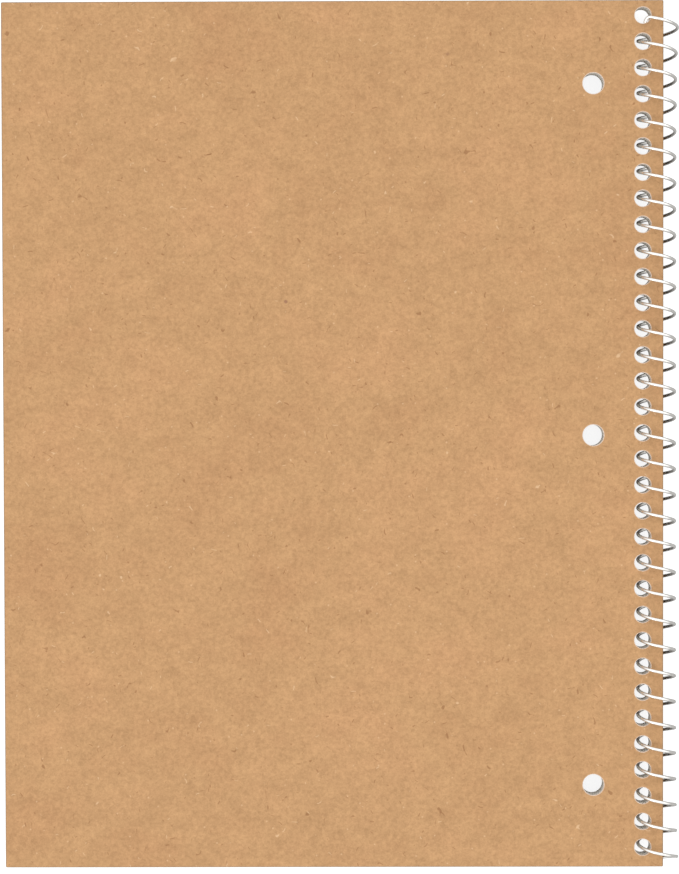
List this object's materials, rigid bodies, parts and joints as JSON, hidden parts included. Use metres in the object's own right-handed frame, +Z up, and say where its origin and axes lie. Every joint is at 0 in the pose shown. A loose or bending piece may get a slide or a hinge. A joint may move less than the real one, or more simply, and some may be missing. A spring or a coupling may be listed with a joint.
{
  "type": "spiral-bound sketchbook",
  "caption": "Sketchbook with kraft board covers and blank sheets on one spiral wire, punched for a ring binder, that opens like a book",
  "frame": {"origin": "middle of the bottom of the box, on the surface that the lowest turns of the coil touch", "axes": "+X towards the spine, +Y towards the top of the page, +Z up through the back cover"},
  "size_m": [0.2078, 0.2666, 0.0124],
  "materials": {
    "board": "matt kraft board",
    "paper": "matt",
    "wire": "bright drawn wire"
  },
  "bodies": {
    "front_block": {"front_cover": "board", "sheet_01": "paper", "sheet_02": "paper", "sheet_03": "paper", "sheet_04": "paper", "sheet_05": "paper", "sheet_06": "paper", "sheet_07": "paper", "sheet_08": "paper", "sheet_09": "paper", "sheet_10": "paper", "sheet_11": "paper", "sheet_12": "paper"},
    "middle_lower": {"sheet_13": "paper", "sheet_14": "paper"},
    "middle_upper": {"sheet_15": "paper", "sheet_16": "paper"},
    "back_block": {"sheet_17": "paper", "sheet_18": "paper", "sheet_19": "paper", "sheet_20": "paper", "sheet_21": "paper", "sheet_22": "paper", "sheet_23": "paper", "sheet_24": "paper", "sheet_25": "paper", "sheet_26": "paper", "sheet_27": "paper", "sheet_28": "paper", "back_cover": "board"},
    "coil": {"spiral_wire": "wire"}
  },
  "joints": [
    {"name": "middle_hinge", "type": "hinge", "parent": "front_block", "child": "middle_lower", "pos_m": [0.09933, 0, 0.00639], "axis": [0, 1, 0], "range_deg": [0, 38.75]},
    {"name": "middle_slide", "type": "slide", "parent": "middle_lower", "child": "middle_upper", "axis": [-0.435, -0.9004, 0], "range_m": [0, 0.00329]},
    {"name": "back_hinge", "type": "hinge", "parent": "middle_upper", "child": "back_block", "pos_m": [0.09933, 0, 0.00701], "axis": [0, 1, 0], "range_deg": [0, 86.25]},
    {"name": "coil_slide", "type": "slide", "parent": "back_block", "child": "coil", "axis": [0.8114, -0.4358, 0.3895], "range_m": [0, 0.00216]}
  ],
  "couplings": [
    {"joint": "middle_hinge", "follows": "back_hinge", "ratio": 0.44928},
    {"joint": "middle_slide", "follows": "back_hinge", "m_per_rad": 0.0021838},
    {"joint": "coil_slide", "follows": "back_hinge", "m_per_rad": 0.0014327}
  ]
}
